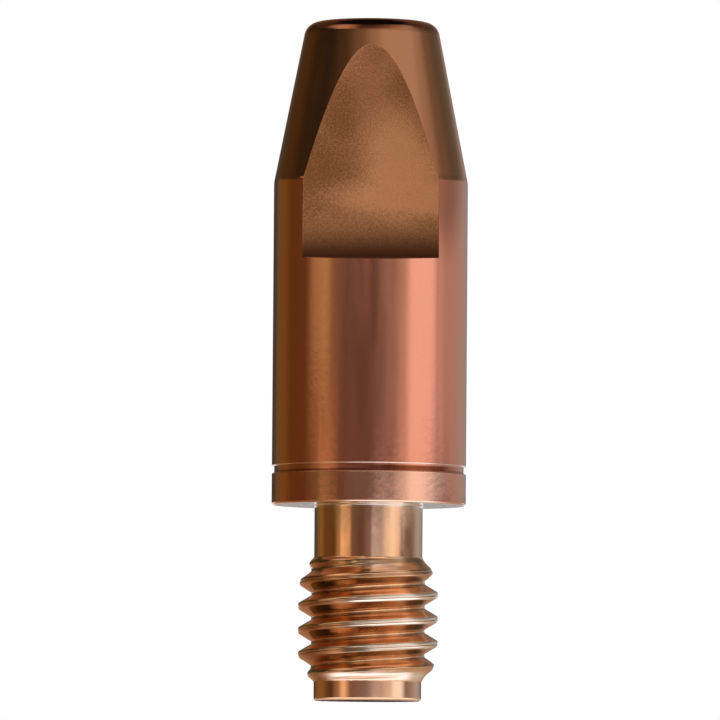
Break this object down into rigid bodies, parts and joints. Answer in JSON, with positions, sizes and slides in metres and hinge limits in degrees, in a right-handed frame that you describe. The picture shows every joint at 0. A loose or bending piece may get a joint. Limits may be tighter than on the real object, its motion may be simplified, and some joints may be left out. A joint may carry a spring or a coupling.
{
  "type": "welding contact tip",
  "caption": "Threaded copper tip that guides the wire of an arc-welding torch and feeds it current, with a seating collar, spanner flats and a tapered nose.",
  "frame": {"origin": "centre of the rear end face, at the threaded end, where the wire enters", "axes": "+Z along the wire bore from the threaded end to the nose; -Y and +Y out of the spanner flats"},
  "size_m": [0.008, 0.008, 0.028],
  "materials": {
    "copper": "fine-turned bare copper alloy, the spanner flats milled and matte"
  },
  "bodies": {
    "root": {"contact_tip": "copper"}
  },
  "joints": []
}
